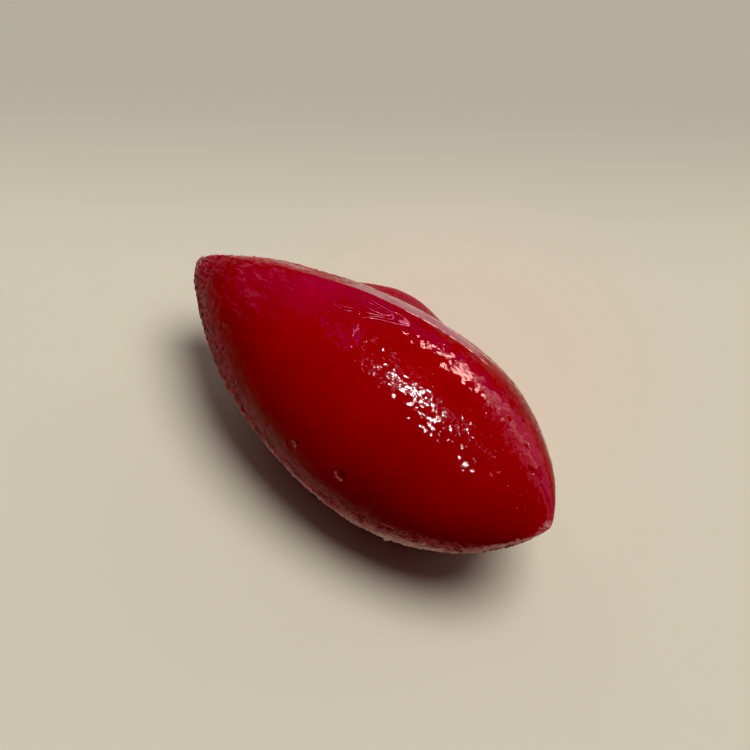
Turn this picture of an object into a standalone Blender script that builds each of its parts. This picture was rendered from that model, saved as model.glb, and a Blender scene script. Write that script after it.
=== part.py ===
"""A quenelle of red fruit sorbet: a spoon-rolled, almond-shaped scoop lying on its flat underside.

Metres, +Z up. +X runs along the scoop from the narrow tip to the full tip, and +Y points to the
back, where the roll of sorbet closed on itself. The origin is the middle of the footprint.
"""

import math

import bmesh
import bpy
from mathutils import Vector, noise

# Driving dimensions of the whole scoop
LENGTH = 0.072
HALF_WIDTH = 0.01625
HEIGHT_ABOVE_AXIS = 0.0141
DEPTH_BELOW_AXIS = 0.0144
UNDERSIDE_CUT = 0.0012

# The axis: level in the belly, and how far each tip is raised above that level and swung to the back
BELLY = 0.57
NARROW_TIP_RISE = 0.0017
FULL_TIP_RISE = 0.0052
NARROW_TIP_SWING = 0.0
FULL_TIP_SWING = -0.0016

# How each side tapers, towards the narrow tip and towards the full tip: 0.5 is round, 1 is a cone
BACK_TAPER = (1.17, 0.82)
TOP_TAPER = (0.82, 0.95)
FRONT_TAPER = (0.77, 0.60)
UNDER_TAPER = (1.36, 0.98)

# Mesh of the solid: rings from tip to tip and columns round the scoop, closer together at the fold
RINGS = 84
COLUMNS = 64
END_SPACING = 1.2
COLUMN_SQUEEZE = 0.34
SQUEEZE_ANGLE = math.radians(38)

# The edge of the roll: a low crease that slants down the upper back, with the skin dropping behind it
EDGE_ANGLE_AT_NARROW_TIP = math.radians(91)
EDGE_SLANT = math.radians(70)
EDGE_MIDDLE = 0.36
EDGE_HALF_LENGTH = 0.36
EDGE_LIP = 0.00008
EDGE_LIP_WIDTH = math.radians(3)
EDGE_DROP = 0.00030
EDGE_DROP_WIDTH = math.radians(15)

# The tongue: the end of the roll, which shows behind the upper edge, and the seam that parts it from the edge
TONGUE_ANGLE = math.radians(4)
TONGUE_ABOVE = math.radians(18)
TONGUE_BELOW = math.radians(42)
TONGUE_MIDDLE = 0.365
TONGUE_HALF_LENGTH = 0.190
TONGUE_BULGE = 0.0036
SEAM_ANGLE = math.radians(29)
SEAM_HALF_ANGLE = math.radians(8)
SEAM_HALF_LENGTH = 0.36
SEAM_DEPTH = 0.0008

# Unevenness: slow waves left by the spoon, and torn grain at both tips and along the lower edge
WAVE_SIZE = 0.014
WAVE_HEIGHT = 0.00022
GRAIN_SIZE = 0.0012
GRAIN_HEIGHT = 0.00030

# Burst air bubbles on the front: share of the length, angle round the scoop, radius, depth of the centre
PITS = {
    "pit_widest": (0.63, math.radians(158), 0.00078, 0.00025),
    "pit_beside_it": (0.52, math.radians(160), 0.00060, 0.00020),
    "pit_towards_narrow_tip": (0.31, math.radians(170), 0.00045, 0.00015),
    "pit_low_on_belly": (0.83, math.radians(188), 0.00050, 0.00015),
}

RED = (0.36, 0.004, 0.012, 1.0)


def smooth_step(x):
    """0 below 0, 1 above 1, and a smooth rise between them."""
    x = min(1.0, max(0.0, x))
    return x * x * (3 - 2 * x)


def bell(x):
    """1 at 0, falling smoothly to 0 at -1 and 1."""
    return smooth_step(1 - abs(x))


def taper(share, powers):
    """Part of the full radius at this share of the length: 0 at both tips, 1 at the fattest place."""
    narrow, full = powers
    fattest = narrow / (narrow + full)
    most = fattest**narrow * (1 - fattest) ** full
    return share**narrow * (1 - share) ** full / most


def axis_point(share):
    """The scoop's own axis at this share of its length."""
    if share < BELLY:
        off = ((BELLY - share) / BELLY) ** 2
        swing, rise = NARROW_TIP_SWING, NARROW_TIP_RISE
    else:
        off = ((share - BELLY) / (1 - BELLY)) ** 2
        swing, rise = FULL_TIP_SWING, FULL_TIP_RISE
    level = DEPTH_BELOW_AXIS - UNDERSIDE_CUT
    return Vector(((share - 0.5) * LENGTH, off * swing, level + off * rise))


def section_radii(share, angle):
    """The section's half-width and half-height in the quarter that holds this angle."""
    side = BACK_TAPER if math.cos(angle) > 0 else FRONT_TAPER
    level = TOP_TAPER if math.sin(angle) > 0 else UNDER_TAPER
    height = HEIGHT_ABOVE_AXIS if math.sin(angle) > 0 else DEPTH_BELOW_AXIS
    return HALF_WIDTH * taper(share, side), height * taper(share, level)


def fold_relief(share, angle):
    """How far the fold lifts or sinks the skin. The angle is 0 at the back and grows upwards."""
    turn = math.remainder(angle, 2 * math.pi)
    past_edge = EDGE_ANGLE_AT_NARROW_TIP - EDGE_SLANT * share - turn
    lip = EDGE_LIP * math.exp(-((past_edge / EDGE_LIP_WIDTH) ** 2))
    down = past_edge / EDGE_DROP_WIDTH
    drop = EDGE_DROP * min(1.0, max(0.0, down)) * smooth_step((3.5 - down) / 2)
    edge = bell((share - EDGE_MIDDLE) / EDGE_HALF_LENGTH) * (lip - drop)
    above = turn - TONGUE_ANGLE
    reach = TONGUE_ABOVE if above > 0 else TONGUE_BELOW
    tongue_along = bell((share - TONGUE_MIDDLE) / TONGUE_HALF_LENGTH) ** 0.75
    tongue = TONGUE_BULGE * tongue_along * bell(above / reach)
    seam_along = bell((share - TONGUE_MIDDLE) / SEAM_HALF_LENGTH)
    seam = SEAM_DEPTH * seam_along * bell((turn - SEAM_ANGLE) / SEAM_HALF_ANGLE)
    return edge + tongue - seam


def torn(share, angle):
    """How torn the skin is, 0 to 1: most at the tips, some along the lower edge on both sides."""
    narrow_tip = smooth_step((0.11 - share) / 0.08)
    full_tip = smooth_step((share - 0.94) / 0.06)
    lower_edge = 0.6 * bell((math.sin(angle) + 0.5) / 0.35)
    return max(narrow_tip, full_tip, lower_edge)


def skin(share, angle):
    """A point of the finished skin, and the direction that faces out there across the scoop."""
    wide, high = section_radii(share, angle)
    middle = axis_point(share)
    if min(wide, high) < 1e-7:
        return middle, Vector((0, 0, 1))
    point = middle + Vector((0, wide * math.cos(angle), high * math.sin(angle)))
    outward = Vector((0, high * math.cos(angle), wide * math.sin(angle))).normalized()
    near_tip = smooth_step(min(share, 1 - share) / 0.04)
    waves = WAVE_HEIGHT * noise.fractal(point / WAVE_SIZE, 0.8, 2.0, 2)
    grain = GRAIN_HEIGHT * torn(share, angle) * noise.fractal(point / GRAIN_SIZE, 1.0, 2.0, 2)
    return point + outward * (fold_relief(share, angle) + near_tip * (waves + grain)), outward


def place_on_scoop(co):
    """The share of the length and the angle that a point of a unit sphere stands for, tips on Z."""
    turn = math.acos(max(-1.0, min(1.0, -co.z))) / math.pi
    near, far = turn**END_SPACING, (1 - turn) ** END_SPACING
    even = math.atan2(co.y, co.x)
    squeezed = even - COLUMN_SQUEEZE * math.sin(even - SQUEEZE_ANGLE)
    return near / (near + far), squeezed


def sit_flat(bm):
    """Cuts the underside flat where it rests, and closes the cut."""
    everything = bm.verts[:] + bm.edges[:] + bm.faces[:]
    bmesh.ops.bisect_plane(
        bm, geom=everything, dist=1e-6, plane_co=(0, 0, 0), plane_no=(0, 0, 1), clear_inner=True
    )
    bmesh.ops.holes_fill(bm, edges=[edge for edge in bm.edges if edge.is_boundary])


def off_centre(bm):
    """How far the middle of the footprint lies from the origin."""
    across = [vert.co.x for vert in bm.verts]
    back = [vert.co.y for vert in bm.verts]
    return Vector(((min(across) + max(across)) / 2, (min(back) + max(back)) / 2, 0))


def sorbet_material():
    material = bpy.data.materials.new("wet_red_sorbet")
    material.use_nodes = True
    shader = material.node_tree.nodes["Principled BSDF"]
    shader.inputs["Base Color"].default_value = RED
    shader.inputs["Roughness"].default_value = 0.12
    shader.inputs["Metallic"].default_value = 0.0
    return material


def object_from(bm, name, collection):
    mesh = bpy.data.meshes.new(name)
    bm.to_mesh(mesh)
    bm.free()
    made = bpy.data.objects.new(name, mesh)
    collection.objects.link(made)
    return made


def make_bubble(name, share, angle, radius, depth, shift, collection):
    """A small ball, not shown itself, that cuts one burst bubble."""
    surface, outward = skin(share, angle)
    bm = bmesh.new()
    bmesh.ops.create_icosphere(bm, subdivisions=2, radius=radius)
    bmesh.ops.translate(bm, verts=bm.verts, vec=surface - outward * depth + shift)
    ball = object_from(bm, name, collection)
    ball.hide_render = True
    ball.display_type = "WIRE"
    return ball


def make_quenelle(collection):
    """The scoop, and the shift that centred it."""
    bm = bmesh.new()
    bmesh.ops.create_uvsphere(bm, u_segments=COLUMNS, v_segments=RINGS, radius=1.0)
    for vert in bm.verts:
        vert.co = skin(*place_on_scoop(vert.co))[0]
    sit_flat(bm)
    shift = -off_centre(bm)
    bmesh.ops.translate(bm, verts=bm.verts, vec=shift)
    bmesh.ops.recalc_face_normals(bm, faces=bm.faces[:])
    quenelle = object_from(bm, "sorbet_quenelle", collection)
    quenelle.data.shade_smooth()
    quenelle.data.materials.append(sorbet_material())
    return quenelle, shift


def main():
    for old in list(bpy.data.objects):
        bpy.data.objects.remove(old)
    parts = bpy.data.collections.new("quenelle_of_sorbet")
    bubbles = bpy.data.collections.new("burst_bubbles")
    for collection in (parts, bubbles):
        bpy.context.scene.collection.children.link(collection)
    quenelle, shift = make_quenelle(parts)
    for name, (share, angle, radius, depth) in PITS.items():
        pit = quenelle.modifiers.new(name, "BOOLEAN")
        pit.operation = "DIFFERENCE"
        pit.solver = "EXACT"
        pit.object = make_bubble(name, share, angle, radius, depth, shift, bubbles)


main()
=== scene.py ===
"""The looks of a quenelle of red fruit sorbet: its skin, its fold and its wet finish."""

import math

import bmesh
import bpy
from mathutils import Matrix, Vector, noise


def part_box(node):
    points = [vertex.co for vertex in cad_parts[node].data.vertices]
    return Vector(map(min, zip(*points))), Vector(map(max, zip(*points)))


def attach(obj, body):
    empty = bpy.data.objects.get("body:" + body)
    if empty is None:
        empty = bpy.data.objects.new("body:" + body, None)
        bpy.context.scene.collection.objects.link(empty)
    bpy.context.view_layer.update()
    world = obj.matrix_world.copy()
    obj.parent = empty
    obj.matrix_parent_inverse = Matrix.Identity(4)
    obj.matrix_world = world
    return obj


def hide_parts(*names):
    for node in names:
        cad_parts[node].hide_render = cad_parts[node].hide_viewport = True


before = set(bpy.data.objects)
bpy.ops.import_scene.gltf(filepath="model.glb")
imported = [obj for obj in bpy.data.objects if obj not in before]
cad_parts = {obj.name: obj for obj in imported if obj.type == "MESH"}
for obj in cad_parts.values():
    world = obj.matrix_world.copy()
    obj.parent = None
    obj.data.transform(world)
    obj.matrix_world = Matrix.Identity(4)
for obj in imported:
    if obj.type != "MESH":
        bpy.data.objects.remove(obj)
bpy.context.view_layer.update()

# The scoop's own sizes, as in the part: overall, its axis, and the taper of each side towards each tip
LENGTH = 0.072
HALF_WIDTH = 0.01625
HEIGHT_ABOVE_AXIS = 0.0141
DEPTH_BELOW_AXIS = 0.0144
UNDERSIDE_CUT = 0.0012
BELLY = 0.57
NARROW_TIP_RISE = 0.0017
FULL_TIP_RISE = 0.0052
NARROW_TIP_SWING = 0.0
FULL_TIP_SWING = -0.0016
BACK_TAPER = (1.17, 0.82)
TOP_TAPER = (0.82, 0.95)
FRONT_TAPER = (0.77, 0.60)
UNDER_TAPER = (1.36, 0.98)

# The fold, as in the part: the edge of the roll, the tongue under it, and the seam between them
EDGE_ANGLE_AT_NARROW_TIP = math.radians(91)
EDGE_SLANT = math.radians(70)
EDGE_MIDDLE = 0.36
EDGE_HALF_LENGTH = 0.36
EDGE_LIP = 0.00008
EDGE_LIP_WIDTH = math.radians(3)
EDGE_DROP = 0.00030
EDGE_DROP_WIDTH = math.radians(15)
EDGE_DROP_ENDS = (3.5, 1.5)
TONGUE_ANGLE = math.radians(4)
TONGUE_ABOVE = math.radians(18)
TONGUE_BELOW = math.radians(42)
TONGUE_MIDDLE = 0.365
TONGUE_HALF_LENGTH = 0.190
TONGUE_BULGE = 0.0036
TONGUE_BLUNTNESS = 0.75
SEAM_ANGLE = math.radians(29)
SEAM_HALF_ANGLE = math.radians(8)
SEAM_HALF_LENGTH = 0.36
SEAM_DEPTH = 0.0008

# Slow waves left by the spoon, as in the part, the torn grain, and the ripples of the melted film.
# The octaves of each are their fall-off, the step between them and their number
WAVE_SIZE = 0.014
WAVE_HEIGHT = 0.00022
WAVE_OCTAVES = (0.8, 2.0, 2)
GRAIN_SIZE = 0.0006
GRAIN_HEIGHT = 0.00036
GRAIN_OCTAVES = (0.7, 2.0, 3)
RIPPLE_SIZE = 0.0022
RIPPLE_HEIGHT = 0.000035
RIPPLE_OCTAVES = (0.7, 2.1, 3)
WAVES_CALM_AT_TIP = 0.04
GRAIN_CALM_AT_TIP = 0.015

# The fine mesh of the skin
RINGS = 330
COLUMNS = 290
END_SPACING = 1.15
COLUMN_SQUEEZE = 0.30
SQUEEZE_ANGLE = math.radians(95)

# Where the skin is torn. Each row says where it starts, where it is full, and how much it is there:
# along the scoop as a share of the length, up it as the sine of the angle, from -1 below to 1 on top
TORN_NARROW_TIP = (0.13, 0.03)
TORN_FULL_TIP = (0.965, 1.0, 0.32)
TORN_LOWER_EDGE = 0.75
TORN_LOWER_EDGE_TOP = 0.20
TORN_CLIMB_TO_NARROW_TIP = (0.45, 0.17, 0.40)
TORN_LOWER_EDGE_FADE = 0.35
TORN_RIM = 0.7

# Where it is frosted, in the same way. The belt along the lower edge is partly frost and partly a painted
# reflection of the floor
FROST_NARROW_TIP = (0.09, 0.02, 0.45)
FROST_FULL_TIP = (0.98, 0.995, 0.28)
SHEEN_AND_FROST_CLIMB_TO_FULL_TIP = (0.88, 0.98, 0.45)
SHEEN_AND_FROST_LOWER_EDGE = (0.06, -0.49)
SHEEN_AND_FROST_LOST_UNDERNEATH = (-0.47, -0.75, 0.7)
SHEEN_AND_FROST_LOST_AT_FULL_END = (0.80, 0.92, 0.35)
FROST_RIM = 0.62

# The frosted rim behind the edge of the roll, on the narrow half: across it and along it
RIM_NEAR_SIDE = (0.0, math.radians(14))
RIM_FAR_SIDE = (math.radians(62), math.radians(26))
RIM_MIDDLE_END = (0.38, 0.23)
RIM_TIP_END = (0.0, 0.02)

# The pale strip just behind the edge of the roll, shaped like a leaf: partly a paler rim, partly a painted
# reflection of the floor
STRIP_MIDDLE = 0.50
STRIP_HALF_LENGTH = 0.21
STRIP_WIDTH = math.radians(27)
STRIP_LEAST_WIDTH = math.radians(0.1)
STRIP_BLUNTNESS = 0.4
STRIP_NEAR_SIDE = (0.0, math.radians(1.5))
STRIP_FADE = 0.45
STRIP_NARROW_END = (0.34, 0.39)
STRIP_FULL_END = (0.72, 0.55)

# How far the tongue's own crimson reaches past its bulge, and how fully it covers it
CRIMSON_REACH = 1.15
CRIMSON_COVER = 2.0
CRIMSON_BLUNTNESS = 0.5

# Burst air bubbles: share of the length, angle round the scoop, radius, depth
PITS = (
    (0.630, math.radians(158), 0.00078, 0.00060),
    (0.513, math.radians(161), 0.00056, 0.00045),
    (0.306, math.radians(171), 0.00042, 0.00030),
    (0.823, math.radians(188), 0.00045, 0.00030),
    (0.858, math.radians(57), 0.00045, 0.00030),
    (0.899, math.radians(66), 0.00055, 0.00035),
    (0.953, math.radians(72), 0.00035, 0.00022),
    (0.800, math.radians(60), 0.00035, 0.00020),
    (0.678, math.radians(108), 0.00026, 0.00020),
    (0.430, math.radians(186), 0.00035, 0.00022),
)
# Crumbs of ice left standing on the lower edge: the same four sizes, the last one their height
CRUMBS = (
    (0.735, math.radians(205), 0.00065, 0.00030),
    (0.400, math.radians(199), 0.00050, 0.00022),
    (0.960, math.radians(196), 0.00040, 0.00024),
    (0.560, math.radians(208), 0.00045, 0.00020),
)
# The section of a bubble and of a crumb, in its own radius: the bowl, its raised rim, and the mound
PIT_BOWL = 0.80
PIT_RIM = 1.18
PIT_RIM_WIDTH = 0.20
PIT_RIM_LIFT = 0.12
PIT_REACH = 1.8
CRUMB_MOUND = 0.7
# A painted glint on the low side of a bubble's rim: a pale crescent, laid into the frost cover
CRESCENT_PAINTED_GLINT = 0.8
CRESCENT_RADIUS = 1.10
CRESCENT_WIDTH = 0.22
CRESCENT_INSIDE = 0.2
CRESCENT_SOFTNESS = 0.5
LOW_SIDE = Vector((-0.45, -0.05, -0.89)).normalized()

# Streaks of paler ice drawn out by the spoon: half-width, then share and angle of each point of the line
SWIRL = (
    (0.00011, ((0.472, 65.4), (0.492, 68.0), (0.499, 70.8), (0.490, 73.3), (0.475, 76.8), (0.461, 83.6))),
    (0.00009, ((0.488, 67.6), (0.486, 71.3), (0.471, 75.6), (0.455, 78.2))),
    (0.00008, ((0.415, 69.4), (0.436, 69.8), (0.462, 69.1), (0.480, 67.9))),
    (0.00012, ((0.480, 65.8), (0.493, 63.9), (0.509, 63.8), (0.524, 65.1), (0.530, 67.6))),
    (0.00012, ((0.528, 69.6), (0.513, 72.1), (0.496, 74.7), (0.468, 80.6))),
    (0.00026, ((0.508, 64.6), (0.521, 65.6), (0.529, 67.4), (0.522, 69.6), (0.512, 70.6))),
    (0.00040, ((0.508, 68.8), (0.515, 67.6), (0.521, 66.6), (0.525, 65.4))),
    (0.00006, ((0.430, 66.6), (0.447, 66.9), (0.464, 66.5), (0.482, 65.1))),
    (0.00005, ((0.382, 85.2), (0.408, 84.4), (0.430, 81.6), (0.451, 80.3))),
    (0.00005, ((0.440, 74.5), (0.459, 74.0), (0.478, 72.2), (0.486, 70.2))),
    (0.00006, ((0.395, 86.4), (0.423, 85.8), (0.434, 83.5), (0.452, 82.3))),
    (0.00010, ((0.481, 95.4), (0.476, 92.8), (0.474, 90.5), (0.467, 87.4))),
    (0.00008, ((0.467, 91.4), (0.476, 92.8))),
    (0.00007, ((0.477, 91.9), (0.478, 88.6))),
)
LOOSE_CURL = (0.00009, ((0.592, 64.2), (0.601, 63.0), (0.611, 64.3), (0.619, 65.6)))
# The crest along the edge of the roll, coloured as a painted highlight: its half-width and the shares of the
# length that it passes
CREST_HALF_WIDTH = 0.00010
CREST_SHARES = (0.49, 0.53, 0.57, 0.61, 0.65, 0.68)
STREAK_SIDES = 10
STREAK_RINGS_PER_POINT = 14
STREAK_BLUNTNESS = 0.4
STREAK_HEIGHT = 0.00006
STREAK_RISE = 1.2
STREAK_STEP = 0.02

# Colours of the sorbet
DEEP_RED = (0.30, 0.0003, 0.0030, 1)
WARM_RED = (0.37, 0.0005, 0.0050, 1)
# Painted shade: the red taken darker low down and towards the full tip in front
PAINTED_SHADE_RED = (0.07, 0.0001, 0.0006, 1)
TORN_PINK = (0.50, 0.045, 0.080, 1)
# Frost, and along the lower edge a painted reflection of the floor
FROST_AND_PAINTED_SHEEN = (0.56, 0.34, 0.29, 1)
TONGUE_CRIMSON = (0.34, 0.0003, 0.016, 1)
# A paler rim behind the edge, partly a painted reflection of the floor
STRIP_PALE_AND_PAINTED_REFLECTION = (0.44, 0.14, 0.175, 1)
PALE_STREAK = (0.60, 0.090, 0.130, 1)
# A painted highlight on the crest of the fold
PAINTED_HIGHLIGHT_EDGE = (1.00, 0.60, 0.54, 1)

# Patterns in the sorbet: repeats per metre, then detail, roughness and distortion
CLOUDS = (70.0, 3.0)
BROAD_PATCHES = (190.0, 2.0)
WET_PATCHES = (230.0, 3.0, 0.6)
MILKINESS = (420.0, 3.0)
RIPPLES = (560.0, 4.0, 0.50, 0.8)
STREAK_PATTERN = (900.0, 3.0)
WISPS = (900.0, 4.0, 0.65, 1.0)
LONG_STREAKS = (950.0, 4.0, 0.65, 0.6)
CRYSTALS = (1500.0, 4.0, 0.7)
SURFACE_GRAIN = (2200.0, 3.0, 0.6)
DRAWN_OUT = (0.45, 1.0, 1.0)
DRAWN_OUT_LONG = (0.22, 1.0, 1.0)
DRAWN_OUT_FLAKES = (0.8, 1.0, 1.0)

# How a pattern, a height or a cover is spread: its own range, then what its two ends are worth if not 0 and 1
CLOUD_SPREAD = (0.30, 0.70)
# Where the painted shade darkens the red: in front towards the full tip, and low down
PAINTED_SHADE_IN_FRONT = (-0.009, 0.0, 0.12, 0.0)
PAINTED_SHADE_LOW_DOWN = (0.007, 0.026)
TORN_SPREAD = (0.42, 0.62)
LONG_STREAKS_ALONG = (-0.031, -0.006, 0.75, 0.0)
LONG_STREAKS_ON_TOP = (0.019, 0.024)
LONG_STREAKS_SPREAD = (0.47, 0.64)
FROST_AND_SHEEN_SPREAD = (0.20, 1.00)
FROST_AND_SHEEN_OUTER_EDGE = (0.02, 0.20)
MILKY_SPREAD = (0.25, 0.50, 0.55, 1.0)
STRIP_SPREAD = (0.28, 0.70)
WET_PATCH_SPREAD = (0.35, 0.60, 0.25, 1.0)
WET_ROUGHNESS = (0.0, 1.0, 0.03, 0.05)
DULL_LOW_DOWN = (0.010, 0.019, 0.30, 0.0)
DULL_FLECKS = (0.40, 0.60, 0.45, 1.15)
STREAK_SPREAD = (0.35, 0.60)
FROST_AND_SHEEN_WISPS = 1.6
STRIP_WISPS = 1.4
DULLNESS = 0.40
LOOSE_WHERE_TORN = 2.2

# The fine relief of the material: heights of its bumps, and how often and how far the flakes of ice lean
RIPPLE_BUMP = 0.00005
GRAIN_BUMP = 0.00028
COARSE_FLAKES = 2300.0
COARSE_LEAN = 0.26
FINE_FLAKES = 4000.0
FINE_LEAN = 0.05
FLAKE_BLUR = 1.5
LEAN_ALONG = 1.3
LEAN_ACROSS = 2.0
ICE_IOR = 1.33

# The floor: its colours, a painted shade that darkens it far behind the scoop, and a painted glow for the
# warm light that the scoop throws behind itself
FLOOR_NEAR = (0.680, 0.636, 0.496, 1)
FLOOR_FAR_PAINTED_SHADE = (0.500, 0.475, 0.385, 1)
FLOOR_PAINTED_GLOW = (0.722, 0.612, 0.486, 1)
FLOOR_HALF_SIZE = 3.0
FAR_WAY = (-0.66, 0.75, 0.0)
PAINTED_SHADE_FAR_SPREAD = (0.034, 0.080)
PAINTED_GLOW_MIDDLE = (-0.002, 0.022, 0.0)
PAINTED_GLOW_SPREAD = (0.012, 0.040, 1.0, 0.0)

# Colours of the lights
SKY_WHITE = (1.0, 0.985, 0.96)
WALL_WHITE = (1.0, 0.97, 0.95)
LAMP_WHITE = (1.0, 0.95, 0.93)
SHADE_PINK = (1.0, 0.68, 0.72)
CEILING_PINK = (1.0, 0.65, 0.70)
CEILING_ROSE = (1.0, 0.55, 0.62)
LILAC = (0.75, 0.12, 1.0)
VIOLET = (0.35, 0.02, 1.0)
PANEL_PEACH = (1.0, 0.56, 0.50)
PANEL_ROSE = (1.0, 0.55, 0.52)
ROSE = (1.0, 0.26, 0.42)
DEEP_ROSE = (1.0, 0.10, 0.42)
SOFT_ROSE = (1.0, 0.30, 0.46)

# Soft light that shades and casts the shadow: name, direction, angle that it fills, strength, colour
SKY_LIGHTS = (
    ("high_window", (0.25, 0.20, 0.945), math.radians(36), 2.58, SKY_WHITE),
    ("back_window", (0.05, 0.94, 0.34), math.radians(50), 0.42, WALL_WHITE),
    ("side_wall", (-0.55, 0.42, 0.72), math.radians(60), 0.22, WALL_WHITE),
)

# Bright things in the room, seen only as reflections on the wet skin. Each has a name and a shape, then its
# direction, width, height and distance, the turn about its own middle, its radiance and its colour
LAMP_TURN = math.radians(14)
GLINTS = (
    ("ceiling_lamp", "ELLIPSE", (-0.055, 0.252, 0.966), 0.205, 0.066, 1.0, LAMP_TURN, 440.0, LAMP_WHITE),
    ("lamp_shade", "ELLIPSE", (-0.10, 0.235, 0.966), 0.44, 0.10, 1.03, LAMP_TURN, 12.0, SHADE_PINK),
    ("faint_ceiling", "ELLIPSE", (0.10, 0.38, 0.92), 0.20, 0.04, 1.0, 0.0, 16.0, CEILING_PINK),
    ("faint_ceiling_further_back", "ELLIPSE", (-0.18, 0.48, 0.86), 0.22, 0.04, 1.0, 0.0, 13.5, CEILING_ROSE),
    ("violet_ceiling", "ELLIPSE", (-0.42, 0.28, 0.86), 0.34, 0.10, 1.0, 0.0, 7.6, LILAC),
    ("violet_corner", "RECTANGLE", (-0.60, 0.48, 0.64), 0.8, 0.50, 1.0, 0.0, 0.62, VIOLET),
    ("violet_wall", "RECTANGLE", (0.0, 0.95, 0.33), 2.0, 0.40, 1.04, 0.0, 1.0, VIOLET),
    ("pale_panel_at_the_back", "RECTANGLE", (-0.15, 0.87, 0.47), 0.20, 0.14, 1.0, 0.0, 100.0, PANEL_PEACH),
    ("panel_beside_it", "RECTANGLE", (0.06, 0.92, 0.39), 0.32, 0.12, 1.0, 0.0, 12.0, PANEL_ROSE),
    ("rose_wall_at_the_back", "RECTANGLE", (0.45, 0.88, 0.18), 1.1, 0.38, 1.02, 0.0, 4.9, ROSE),
    ("rose_wall_at_the_side", "RECTANGLE", (-0.82, 0.25, 0.50), 1.0, 0.60, 1.02, 0.0, 1.8, DEEP_ROSE),
    ("rose_wall_above_it", "RECTANGLE", (0.30, 0.77, 0.56), 0.50, 0.26, 1.03, 0.0, 6.3, SOFT_ROSE),
)
LIT_PLACE = (0, 0, 0.012)
ROOM_COLOUR = (0.85, 0.60, 0.90, 1)
ROOM_STRENGTH = 0.06

# The camera, and the level that the view calls black
CAMERA_LENS_MM = 92.71
CAMERA_CLIP = 0.01
CAMERA_PLACE = (0.1192, -0.1223, 0.2364)
CAMERA_TARGET = (-0.0092, 0.0105, 0.0)
BLACK_LEVEL = (0.003, 0.006, 0.006)


def smooth_step(x):
    """0 below 0, 1 above 1, and a smooth rise between them."""
    x = min(1.0, max(0.0, x))
    return x * x * (3 - 2 * x)


def bell(x):
    """1 at 0, falling smoothly to 0 at -1 and 1."""
    return smooth_step(1 - abs(x))


def fade(value, start, full, most=1.0):
    """0 at the start and before it, the most from the full value on, and smooth between them, up or down."""
    return most * smooth_step((value - start) / (full - start))


def hump(x):
    """1 at 0, dying away on both sides."""
    return math.exp(-(x**2))


def taper(share, powers):
    """Part of the full radius at this share of the length: 0 at both tips, 1 at the fattest place."""
    narrow, full = powers
    fattest = narrow / (narrow + full)
    most = fattest**narrow * (1 - fattest) ** full
    return share**narrow * (1 - share) ** full / most


def axis_point(share):
    """The scoop's own axis at this share of its length."""
    if share < BELLY:
        off = ((BELLY - share) / BELLY) ** 2
        swing, rise = NARROW_TIP_SWING, NARROW_TIP_RISE
    else:
        off = ((share - BELLY) / (1 - BELLY)) ** 2
        swing, rise = FULL_TIP_SWING, FULL_TIP_RISE
    level = DEPTH_BELOW_AXIS - UNDERSIDE_CUT
    return Vector(((share - 0.5) * LENGTH, off * swing, level + off * rise))


def section_radii(share, angle):
    """The section's half-width and half-height in the quarter that holds this angle."""
    side = BACK_TAPER if math.cos(angle) > 0 else FRONT_TAPER
    level = TOP_TAPER if math.sin(angle) > 0 else UNDER_TAPER
    height = HEIGHT_ABOVE_AXIS if math.sin(angle) > 0 else DEPTH_BELOW_AXIS
    return HALF_WIDTH * taper(share, side), height * taper(share, level)


def edge_angle(share):
    """The angle round the scoop at which the edge of the roll lies."""
    return EDGE_ANGLE_AT_NARROW_TIP - EDGE_SLANT * share


def past_edge(share, angle):
    """How far behind the edge of the roll this angle lies."""
    return edge_angle(share) - math.remainder(angle, 2 * math.pi)


def up_the_tongue(angle):
    """How far above the tongue's middle this angle lies, and how far the tongue reaches on that side."""
    above = math.remainder(angle, 2 * math.pi) - TONGUE_ANGLE
    return above, TONGUE_ABOVE if above > 0 else TONGUE_BELOW


def fold_relief(share, angle):
    """How far the fold lifts or sinks the skin. The angle is 0 at the back and grows upwards."""
    behind = past_edge(share, angle)
    lip = EDGE_LIP * hump(behind / EDGE_LIP_WIDTH)
    down = behind / EDGE_DROP_WIDTH
    drop = EDGE_DROP * min(1.0, max(0.0, down)) * fade(down, *EDGE_DROP_ENDS)
    edge = bell((share - EDGE_MIDDLE) / EDGE_HALF_LENGTH) * (lip - drop)
    above, reach = up_the_tongue(angle)
    tongue_along = bell((share - TONGUE_MIDDLE) / TONGUE_HALF_LENGTH) ** TONGUE_BLUNTNESS
    tongue = TONGUE_BULGE * tongue_along * bell(above / reach)
    seam_along = bell((share - TONGUE_MIDDLE) / SEAM_HALF_LENGTH)
    turn = math.remainder(angle, 2 * math.pi)
    seam = SEAM_DEPTH * seam_along * bell((turn - SEAM_ANGLE) / SEAM_HALF_ANGLE)
    return edge + tongue - seam


def narrow_rim(share, angle):
    """The frosted rim behind the edge, on the narrow half, 0 to 1."""
    behind = past_edge(share, angle)
    across = fade(behind, *RIM_NEAR_SIDE) * fade(behind, *RIM_FAR_SIDE)
    return across * fade(share, *RIM_MIDDLE_END) * fade(share, *RIM_TIP_END)


def torn(share, angle):
    """How torn the skin is, 0 to 1: at the tips, on the rim, and along the lower edge except at the back."""
    narrow_tip = fade(share, *TORN_NARROW_TIP)
    full_tip = fade(share, *TORN_FULL_TIP)
    top = TORN_LOWER_EDGE_TOP + fade(share, *TORN_CLIMB_TO_NARROW_TIP)
    low_down = fade(math.sin(angle), top, top - TORN_LOWER_EDGE_FADE)
    lower_edge = TORN_LOWER_EDGE * low_down * smooth_step(1 - math.cos(angle))
    return max(narrow_tip, full_tip, lower_edge, TORN_RIM * narrow_rim(share, angle))


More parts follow.
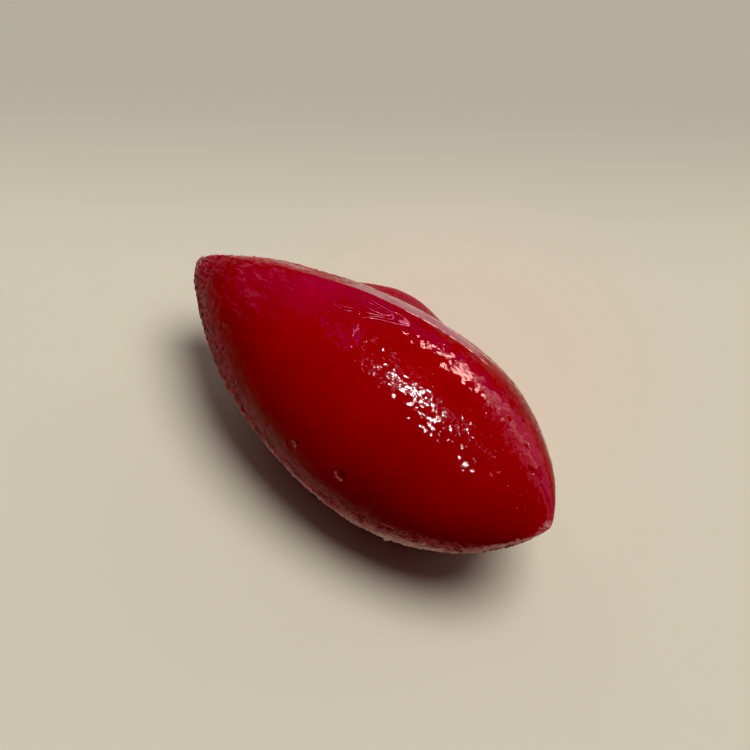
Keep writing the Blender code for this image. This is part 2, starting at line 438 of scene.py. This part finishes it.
def tongue_share(share, angle):
    """How much of the tongue's own crimson shows, 0 to 1."""
    above, reach = up_the_tongue(angle)
    along = bell((share - TONGUE_MIDDLE) / TONGUE_HALF_LENGTH) ** CRIMSON_BLUNTNESS
    return along * smooth_step(CRIMSON_COVER * bell(above / (CRIMSON_REACH * reach)))


def strip_behind_edge(share, angle):
    """The pale strip just behind the edge of the roll, partly a painted reflection of the floor, 0 to 1."""
    behind = past_edge(share, angle)
    leaf = bell((share - STRIP_MIDDLE) / STRIP_HALF_LENGTH) ** STRIP_BLUNTNESS
    reach = STRIP_LEAST_WIDTH + STRIP_WIDTH * leaf
    across = fade(behind, *STRIP_NEAR_SIDE) * fade(behind, reach, reach * (1 - STRIP_FADE))
    return across * fade(share, *STRIP_NARROW_END) * fade(share, *STRIP_FULL_END)


def frost_and_sheen(share, angle):
    """How pale the skin is, 0 to 1: frost at the tips and the rim, and a belt round the lower edge that is
    partly frost and partly a painted reflection of the floor.
    """
    height = math.sin(angle) - fade(share, *SHEEN_AND_FROST_CLIMB_TO_FULL_TIP)
    belt = fade(height, *SHEEN_AND_FROST_LOWER_EDGE) * (1 - fade(height, *SHEEN_AND_FROST_LOST_UNDERNEATH))
    belt *= 1 - fade(share, *SHEEN_AND_FROST_LOST_AT_FULL_END)
    narrow_tip = fade(share, *FROST_NARROW_TIP)
    full_tip = fade(share, *FROST_FULL_TIP)
    return max(belt, narrow_tip, full_tip, FROST_RIM * narrow_rim(share, angle))


def plain_skin(share, angle):
    """A point of the skin before its fine relief, and the direction that faces out there."""
    wide, high = section_radii(share, angle)
    middle = axis_point(share)
    if min(wide, high) < 1e-7:
        return middle, Vector((0, 0, 1))
    point = middle + Vector((0, wide * math.cos(angle), high * math.sin(angle)))
    outward = Vector((0, high * math.cos(angle), wide * math.sin(angle))).normalized()
    near_tip = smooth_step(min(share, 1 - share) / WAVES_CALM_AT_TIP)
    waves = WAVE_HEIGHT * noise.fractal(point / WAVE_SIZE, *WAVE_OCTAVES)
    return point + outward * (fold_relief(share, angle) + near_tip * waves), outward


def pit_relief(point, pits, crumbs):
    """Burst bubbles, each a bowl with a slightly raised rim, and crumbs, each a low mound."""
    sink = 0.0
    for centre, radius, depth in pits:
        off = (point - centre).length / radius
        if off < PIT_REACH:
            bowl = math.exp(-((off / PIT_BOWL) ** 4))
            sink += depth * (bowl - PIT_RIM_LIFT * hump((off - PIT_RIM) / PIT_RIM_WIDTH))
    for centre, radius, height in crumbs:
        off = (point - centre).length / radius
        sink -= height * hump(off / CRUMB_MOUND)
    return sink


def painted_glint_crescent(point, pits):
    """A painted glint on the low side of a burst bubble's rim, a pale crescent, 0 to 1."""
    most = 0.0
    for centre, radius, _ in pits:
        away = point - centre
        off = away.length / radius
        if CRESCENT_INSIDE < off < PIT_REACH:
            low_side = smooth_step(away.normalized().dot(LOW_SIDE) / CRESCENT_SOFTNESS)
            on_rim = hump((off - CRESCENT_RADIUS) / CRESCENT_WIDTH)
            most = max(most, CRESCENT_PAINTED_GLINT * low_side * on_rim)
    return most


def skin(share, angle, pits, crumbs):
    """A point of the finished skin, with its grain, ripples, bubbles and crumbs."""
    point, outward = plain_skin(share, angle)
    near_tip = smooth_step(min(share, 1 - share) / GRAIN_CALM_AT_TIP)
    grain = GRAIN_HEIGHT * torn(share, angle) * noise.fractal(point / GRAIN_SIZE, *GRAIN_OCTAVES)
    ripple = RIPPLE_HEIGHT * noise.fractal(point / RIPPLE_SIZE, *RIPPLE_OCTAVES)
    return point + outward * (near_tip * (grain + ripple) - pit_relief(point, pits, crumbs))


def turn_from_tip(co):
    """How far along a ball of radius 1, tips on Z, a point lies, 0 to 1."""
    return math.acos(max(-1.0, min(1.0, -co.z))) / math.pi


def place_on_scoop(co):
    """The share of the length and the angle that a point of a unit sphere stands for, tips on Z."""
    turn = turn_from_tip(co)
    near, far = turn**END_SPACING, (1 - turn) ** END_SPACING
    even = math.atan2(co.y, co.x)
    squeezed = even - COLUMN_SQUEEZE * math.sin(even - SQUEEZE_ANGLE)
    return near / (near + far), squeezed


def object_from(bm, name, material):
    """A smooth-shaded object in the scene, made from a bmesh that is then freed."""
    mesh = bpy.data.meshes.new(name)
    bm.to_mesh(mesh)
    bm.free()
    mesh.shade_smooth()
    mesh.materials.append(material)
    made = bpy.data.objects.new(name, mesh)
    bpy.context.scene.collection.objects.link(made)
    return made


def sit_flat(bm):
    """Cuts the underside flat where it rests, and closes the cut."""
    everything = bm.verts[:] + bm.edges[:] + bm.faces[:]
    bmesh.ops.bisect_plane(
        bm, geom=everything, dist=1e-7, plane_co=(0, 0, 0), plane_no=(0, 0, 1), clear_inner=True
    )
    bmesh.ops.holes_fill(bm, edges=[edge for edge in bm.edges if edge.is_boundary])


def make_skin(material):
    """The scoop's whole skin, placed where the part's node is, and the shift that placed it."""
    pits = [(plain_skin(s, a)[0], radius, depth) for s, a, radius, depth in PITS]
    crumbs = [(plain_skin(s, a)[0], radius, height) for s, a, radius, height in CRUMBS]
    bm = bmesh.new()
    bmesh.ops.create_uvsphere(bm, u_segments=COLUMNS, v_segments=RINGS, radius=1.0)
    tear = bm.verts.layers.float.new("torn")
    frost_and_sheen_layer = bm.verts.layers.float.new("frost_and_sheen")
    strip = bm.verts.layers.float.new("strip")
    tongue = bm.verts.layers.float.new("tongue")
    for vert in bm.verts:
        share, angle = place_on_scoop(vert.co)
        vert.co = skin(share, angle, pits, crumbs)
        vert[tear] = torn(share, angle)
        # The frost cover also holds the painted glints on the bubbles' rims
        vert[frost_and_sheen_layer] = max(frost_and_sheen(share, angle), painted_glint_crescent(vert.co, pits))
        vert[strip] = strip_behind_edge(share, angle)
        vert[tongue] = tongue_share(share, angle)
    sit_flat(bm)
    bmesh.ops.recalc_face_normals(bm, faces=bm.faces[:])
    low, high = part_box("sorbet_quenelle")
    back = [vert.co.y for vert in bm.verts]
    shift = Vector((0, (low.y + high.y) / 2 - (min(back) + max(back)) / 2, 0))
    bmesh.ops.translate(bm, verts=bm.verts, vec=shift)
    return object_from(bm, "sorbet_skin", material), shift


def along_path(path, travelled):
    """The place this far along a line of points, from 0 to 1, rounded through them."""
    legs = len(path) - 1
    leg = min(legs - 1, int(travelled * legs))
    t = travelled * legs - leg
    near = [path[max(0, min(legs, leg + step))] for step in (-1, 0, 1, 2)]
    before, start, end, after = (Vector((share, math.radians(angle))) for share, angle in near)
    bend = 2 * before - 5 * start + 4 * end - after
    curl = -before + 3 * start - 3 * end + after
    return start + 0.5 * (t * (end - before) + t * t * bend + t**3 * curl)


def lay_streak(bm, half_width, path, shift):
    """A low rounded streak, pointed at both ends, half sunk in the skin along the path."""
    rings = STREAK_RINGS_PER_POINT * len(path)
    ball = bmesh.ops.create_uvsphere(bm, u_segments=STREAK_SIDES, v_segments=rings, radius=1.0)
    low_height = min(half_width, STREAK_HEIGHT) * STREAK_RISE
    for vert in ball["verts"]:
        travelled = turn_from_tip(vert.co)
        thick = math.sin(math.pi * travelled) ** STREAK_BLUNTNESS
        turn = math.atan2(vert.co.y, vert.co.x)
        place, outward = plain_skin(*along_path(path, travelled))
        ahead = plain_skin(*along_path(path, min(1.0, travelled + STREAK_STEP)))[0]
        behind = plain_skin(*along_path(path, max(0.0, travelled - STREAK_STEP)))[0]
        across = outward.cross(ahead - behind).normalized()
        sideways = across * (thick * half_width * math.cos(turn))
        vert.co = place + sideways + outward * (thick * low_height * math.sin(turn)) + shift


def make_streaks(name, streaks, material, shift):
    """One piece that holds all of the given streaks."""
    bm = bmesh.new()
    for half_width, path in streaks:
        lay_streak(bm, half_width, path, shift)
    bmesh.ops.recalc_face_normals(bm, faces=bm.faces[:])
    return object_from(bm, name, material)


def crest_streak():
    """The streak that follows the edge of the roll, pale with a painted highlight where it catches the light.
    """
    path = tuple((share, math.degrees(edge_angle(share))) for share in CREST_SHARES)
    return CREST_HALF_WIDTH, path


def new_material(name):
    """A material, its node tree, its shader and the object's own coordinates."""
    material = bpy.data.materials.new(name)
    material.use_nodes = True
    tree = material.node_tree
    place = tree.nodes.new("ShaderNodeTexCoord").outputs["Object"]
    return material, tree, tree.nodes["Principled BSDF"], place


def feed(tree, socket, value):
    """Gives a socket a plain number, vector or colour, or another node's result."""
    if isinstance(value, (float, tuple)):
        socket.default_value = value
    else:
        tree.links.new(value, socket)


def noise_texture(tree, place, scale, detail, roughness=0.5, distortion=0.0):
    texture = tree.nodes.new("ShaderNodeTexNoise")
    texture.inputs["Scale"].default_value = scale
    texture.inputs["Detail"].default_value = detail
    texture.inputs["Roughness"].default_value = roughness
    texture.inputs["Distortion"].default_value = distortion
    tree.links.new(place, texture.inputs["Vector"])
    return texture.outputs["Fac"]


def stretched(tree, place, scale):
    mapping = tree.nodes.new("ShaderNodeMapping")
    mapping.inputs["Scale"].default_value = scale
    tree.links.new(place, mapping.inputs["Vector"])
    return mapping.outputs["Vector"]


def ramp(tree, value, low, high, start=0.0, end=1.0):
    """The value's range from low to high, spread smoothly from start to end and held outside it."""
    spread = tree.nodes.new("ShaderNodeMapRange")
    spread.interpolation_type = "SMOOTHSTEP"
    spread.inputs["From Min"].default_value = low
    spread.inputs["From Max"].default_value = high
    spread.inputs["To Min"].default_value = start
    spread.inputs["To Max"].default_value = end
    tree.links.new(value, spread.inputs["Value"])
    return spread.outputs["Result"]


def combine(tree, operation, first, second):
    result = tree.nodes.new("ShaderNodeMath")
    result.operation = operation
    feed(tree, result.inputs[0], first)
    feed(tree, result.inputs[1], second)
    return result.outputs["Value"]


def mix_colour(tree, share, first, second):
    """The first colour where the share is 0, and the second where it is 1."""
    mix = tree.nodes.new("ShaderNodeMix")
    mix.data_type = "RGBA"
    tree.links.new(share, mix.inputs["Factor"])
    feed(tree, mix.inputs[6], first)
    feed(tree, mix.inputs[7], second)
    return mix.outputs[2]


def bump(tree, height, distance, before=None):
    relief = tree.nodes.new("ShaderNodeBump")
    relief.inputs["Distance"].default_value = distance
    tree.links.new(height, relief.inputs["Height"])
    if before is not None:
        tree.links.new(before, relief.inputs["Normal"])
    return relief.outputs["Normal"]


def vector_step(tree, operation, first, second=None, output="Vector"):
    result = tree.nodes.new("ShaderNodeVectorMath")
    result.operation = operation
    tree.links.new(first, result.inputs[0])
    if second is not None:
        feed(tree, result.inputs["Scale" if operation == "SCALE" else 1], second)
    return result.outputs[output]


def leaning_flakes(tree, place, scale, lean, share, normal):
    """Splits the film into flakes of ice, each leaning its own way, as far as the share says."""
    blur = tree.nodes.new("ShaderNodeTexNoise")
    blur.inputs["Scale"].default_value = FLAKE_BLUR * scale
    tree.links.new(place, blur.inputs["Vector"])
    offset = vector_step(tree, "MULTIPLY", blur.outputs["Color"], (FLAKE_BLUR / scale,) * 3)
    flakes = tree.nodes.new("ShaderNodeTexVoronoi")
    flakes.inputs["Scale"].default_value = scale
    tree.links.new(vector_step(tree, "ADD", place, offset), flakes.inputs["Vector"])
    tilt = vector_step(tree, "SUBTRACT", flakes.outputs["Color"], (0.5, 0.5, 0.5))
    tilt = vector_step(tree, "MULTIPLY", tilt, vector_step(tree, "ABSOLUTE", tilt))
    tilt = vector_step(tree, "MULTIPLY", tilt, (LEAN_ALONG * lean, LEAN_ACROSS * lean, LEAN_ACROSS * lean))
    tilt = vector_step(tree, "SCALE", tilt, share)
    return vector_step(tree, "NORMALIZE", vector_step(tree, "ADD", normal, tilt))


def layer(tree, name):
    """A cover that the mesh carries, by its name."""
    attribute = tree.nodes.new("ShaderNodeAttribute")
    attribute.attribute_name = name
    return attribute.outputs["Fac"]


def red_with_painted_shade(tree, cloud, axes):
    """The red of the sorbet itself, clearer on top, with painted shade that takes it darker low down and
    towards the full tip in front.
    """
    colour = mix_colour(tree, cloud, DEEP_RED, WARM_RED)
    towards_full_tip = combine(tree, "MAXIMUM", axes.outputs["X"], 0.0)
    in_front = ramp(tree, axes.outputs["Y"], *PAINTED_SHADE_IN_FRONT)
    towards_full_tip = combine(tree, "MULTIPLY", towards_full_tip, in_front)
    lit_height = combine(tree, "SUBTRACT", axes.outputs["Z"], towards_full_tip)
    return mix_colour(tree, ramp(tree, lit_height, *PAINTED_SHADE_LOW_DOWN), PAINTED_SHADE_RED, colour)


def long_streaks_at_narrow_end(tree, place, axes):
    """How much the long torn streaks on top of the narrow end show."""
    narrow_end = ramp(tree, axes.outputs["X"], *LONG_STREAKS_ALONG)
    on_top = ramp(tree, axes.outputs["Z"], *LONG_STREAKS_ON_TOP)
    narrow_end = combine(tree, "MULTIPLY", narrow_end, on_top)
    streaks = noise_texture(tree, stretched(tree, place, DRAWN_OUT_LONG), *LONG_STREAKS)
    return combine(tree, "MULTIPLY", narrow_end, ramp(tree, streaks, *LONG_STREAKS_SPREAD))


def frost_and_sheen_cover(tree, place, frost_and_sheen_layer, wisps):
    """How much of the frost and its painted reflection shows, once wisps and broad patches have broken its
    edge up.
    """
    broad = combine(tree, "SUBTRACT", noise_texture(tree, place, *BROAD_PATCHES), 0.5)
    uneven = combine(tree, "ADD", combine(tree, "MULTIPLY", wisps, FROST_AND_SHEEN_WISPS), broad)
    cover = ramp(tree, combine(tree, "ADD", frost_and_sheen_layer, uneven), *FROST_AND_SHEEN_SPREAD)
    return combine(tree, "MULTIPLY", cover, ramp(tree, frost_and_sheen_layer, *FROST_AND_SHEEN_OUTER_EDGE))


def strip_and_reflection_cover(tree, drawn_out, strip, wisps):
    """How much of the pale strip, partly a painted reflection, shows: milky in places, with a wispy edge."""
    milky = ramp(tree, noise_texture(tree, drawn_out, *MILKINESS), *MILKY_SPREAD)
    uneven_strip = combine(tree, "ADD", strip, combine(tree, "MULTIPLY", wisps, STRIP_WISPS))
    return combine(tree, "MULTIPLY", ramp(tree, uneven_strip, *STRIP_SPREAD), milky)


def film_roughness(tree, cloud, axes, crystals, covers):
    """Nearly mirror-smooth, duller low down and wherever one of the covers is, in flecks."""
    roughness = ramp(tree, cloud, *WET_ROUGHNESS)
    dull = covers[0]
    for cover in covers[1:]:
        dull = combine(tree, "MAXIMUM", dull, cover)
    low_down = ramp(tree, axes.outputs["Z"], *DULL_LOW_DOWN)
    flecks = ramp(tree, crystals, *DULL_FLECKS)
    dull = combine(tree, "MULTIPLY", combine(tree, "MAXIMUM", dull, low_down), flecks)
    return combine(tree, "ADD", roughness, combine(tree, "MULTIPLY", dull, DULLNESS))


def film_relief(tree, place, tear, frost_and_sheen_layer):
    """The melted film's ripples, its leaning flakes of ice, and the grain where it is torn or frosted, the
    belt of painted reflection included.
    """
    patches = ramp(tree, noise_texture(tree, place, *WET_PATCHES), *WET_PATCH_SPREAD)
    ripple = noise_texture(tree, place, *RIPPLES)
    normal = bump(tree, combine(tree, "MULTIPLY", ripple, patches), RIPPLE_BUMP)
    loose = combine(tree, "MAXIMUM", patches, combine(tree, "MULTIPLY", tear, LOOSE_WHERE_TORN))
    drawn_flakes = stretched(tree, place, DRAWN_OUT_FLAKES)
    normal = leaning_flakes(tree, drawn_flakes, COARSE_FLAKES, COARSE_LEAN, loose, normal)
    normal = leaning_flakes(tree, place, FINE_FLAKES, FINE_LEAN, loose, normal)
    torn_frost_and_sheen = combine(tree, "MAXIMUM", tear, frost_and_sheen_layer)
    grain = combine(tree, "MULTIPLY", noise_texture(tree, place, *SURFACE_GRAIN), torn_frost_and_sheen)
    return bump(tree, grain, GRAIN_BUMP, normal)


def sorbet_material():
    """Wet, deep red sorbet with painted shade low down, and the torn, frosted, pale and crimson covers that
    the mesh carries; the frost and the pale strip are partly painted reflection.
    """
    material, tree, shader, place = new_material("wet_red_sorbet")
    tear, frost_and_sheen_layer, strip, tongue = (layer(tree, name) for name in ("torn", "frost_and_sheen", "strip", "tongue"))
    axes = tree.nodes.new("ShaderNodeSeparateXYZ")
    tree.links.new(place, axes.inputs["Vector"])
    cloud = ramp(tree, noise_texture(tree, place, *CLOUDS), *CLOUD_SPREAD)
    drawn_out = stretched(tree, place, DRAWN_OUT)
    crystals = noise_texture(tree, drawn_out, *CRYSTALS)
    wisps = combine(tree, "SUBTRACT", noise_texture(tree, drawn_out, *WISPS), 0.5)
    torn_share = combine(tree, "MULTIPLY", ramp(tree, crystals, *TORN_SPREAD), tear)
    frost_and_sheen_share = frost_and_sheen_cover(tree, place, frost_and_sheen_layer, wisps)

    # The red with its painted shade
    colour = mix_colour(tree, tongue, red_with_painted_shade(tree, cloud, axes), TONGUE_CRIMSON)
    colour = mix_colour(tree, torn_share, colour, TORN_PINK)
    colour = mix_colour(tree, long_streaks_at_narrow_end(tree, place, axes), colour, TORN_PINK)
    # Frost, partly a painted reflection of the floor along the lower edge, with painted glints on the bubbles
    colour = mix_colour(tree, frost_and_sheen_share, colour, FROST_AND_PAINTED_SHEEN)
    # The pale strip, partly a painted reflection of the floor
    colour = mix_colour(tree, strip_and_reflection_cover(tree, drawn_out, strip, wisps), colour, STRIP_PALE_AND_PAINTED_REFLECTION)
    tree.links.new(colour, shader.inputs["Base Color"])

    roughness = film_roughness(tree, cloud, axes, crystals, (tear, frost_and_sheen_share, tongue))
    tree.links.new(roughness, shader.inputs["Roughness"])
    tree.links.new(film_relief(tree, place, tear, frost_and_sheen_layer), shader.inputs["Normal"])
    shader.inputs["IOR"].default_value = ICE_IOR
    shader.inputs["Specular IOR Level"].default_value = 0.125
    shader.inputs["Subsurface Weight"].default_value = 0.35
    shader.inputs["Subsurface Radius"].default_value = (1.0, 0.10, 0.06)
    shader.inputs["Subsurface Scale"].default_value = 0.004
    return material


def streak_material(name, colour):
    """A streak's own colour, broken up by the red of the sorbet."""
    material, tree, shader, place = new_material(name)
    uneven = ramp(tree, noise_texture(tree, place, *STREAK_PATTERN), *STREAK_SPREAD)
    tree.links.new(mix_colour(tree, uneven, WARM_RED, colour), shader.inputs["Base Color"])
    shader.inputs["Roughness"].default_value = 0.15
    shader.inputs["IOR"].default_value = ICE_IOR
    return material


def floor_material():
    """Pale and even, with painted shade a little darker far behind the scoop, and a painted warm glow close
    behind it for the light that the scoop throws there.
    """
    material, tree, shader, place = new_material("pale_floor")
    far = vector_step(tree, "DOT_PRODUCT", place, FAR_WAY, "Value")
    # Painted shade, darker far behind the scoop
    colour = mix_colour(tree, ramp(tree, far, *PAINTED_SHADE_FAR_SPREAD), FLOOR_NEAR, FLOOR_FAR_PAINTED_SHADE)
    away_from_painted_glow = vector_step(tree, "DISTANCE", place, PAINTED_GLOW_MIDDLE, "Value")
    # A painted warm glow close behind the scoop
    colour = mix_colour(tree, ramp(tree, away_from_painted_glow, *PAINTED_GLOW_SPREAD), colour, FLOOR_PAINTED_GLOW)
    tree.links.new(colour, shader.inputs["Base Color"])
    shader.inputs["Roughness"].default_value = 0.7
    shader.inputs["Specular IOR Level"].default_value = 0.0
    return material


def make_floor():
    bm = bmesh.new()
    bmesh.ops.create_grid(bm, x_segments=1, y_segments=1, size=FLOOR_HALF_SIZE)
    object_from(bm, "floor", floor_material())


def point_at(thing, target):
    """Turns a camera or a lamp, which look down their own -Z, towards the target."""
    away = thing.location - Vector(target)
    thing.rotation_euler = away.to_track_quat("Z", "Y").to_euler()


def place_lamp(name, light, direction, distance, turned):
    """A lamp at this distance in this direction, facing the scoop and turned about its own middle."""
    lamp = bpy.data.objects.new(name, light)
    lamp.location = Vector(direction).normalized() * distance
    bpy.context.scene.collection.objects.link(lamp)
    point_at(lamp, LIT_PLACE)
    lamp.rotation_euler.rotate_axis("Z", turned)
    return lamp


def make_sky_light(name, direction, wide, strength, colour):
    """Soft light from one side of the room: it shades and casts the shadow, and isn't mirrored."""
    light = bpy.data.lights.new(name, "SUN")
    light.angle = wide
    light.energy = strength
    light.color = colour
    lamp = place_lamp(name, light, direction, 1.0, 0.0)
    lamp.visible_glossy = False


def make_glint(name, shape, direction, width, height, distance, turned, radiance, colour):
    """Something bright in the room that shows only as a reflection on the wet skin."""
    light = bpy.data.lights.new(name, "AREA")
    light.shape = shape
    light.size = width
    light.size_y = height
    area = width * height if shape == "RECTANGLE" else math.pi * width * height / 4
    light.energy = radiance * math.pi * area
    light.color = colour
    lamp = place_lamp(name, light, direction, distance, turned)
    lamp.visible_diffuse = False


def make_camera():
    camera = bpy.data.cameras.new("camera")
    camera.lens = CAMERA_LENS_MM
    camera.clip_start = CAMERA_CLIP
    holder = bpy.data.objects.new("camera", camera)
    holder.location = CAMERA_PLACE
    bpy.context.scene.collection.objects.link(holder)
    point_at(holder, CAMERA_TARGET)
    bpy.context.scene.camera = holder


def make_world():
    world = bpy.data.worlds.new("soft_room")
    world.use_nodes = True
    background = world.node_tree.nodes["Background"]
    background.inputs["Color"].default_value = ROOM_COLOUR
    background.inputs["Strength"].default_value = ROOM_STRENGTH
    bpy.context.scene.world = world


def set_view():
    """Colours as they are, with the darkest ones taken down to black."""
    view = bpy.context.scene.view_settings
    view.view_transform = "Standard"
    view.use_curve_mapping = True
    view.curve_mapping.black_level = BLACK_LEVEL
    view.curve_mapping.update()


sorbet_skin, placed = make_skin(sorbet_material())
pale = streak_material("paler_ice", PALE_STREAK)
swirl = make_streaks("folded_in_swirl", SWIRL + (LOOSE_CURL,), pale, placed)
# The crest's pale colour is a painted highlight
painted_highlight = streak_material("painted_highlight_edge", PAINTED_HIGHLIGHT_EDGE)
crest = make_streaks("crest_of_the_fold", (crest_streak(),), painted_highlight, placed)
for piece in (sorbet_skin, swirl, crest):
    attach(piece, "root")
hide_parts("sorbet_quenelle")

make_floor()
make_world()
for sky_light in SKY_LIGHTS:
    make_sky_light(*sky_light)
for glint in GLINTS:
    make_glint(*glint)
make_camera()
set_view()
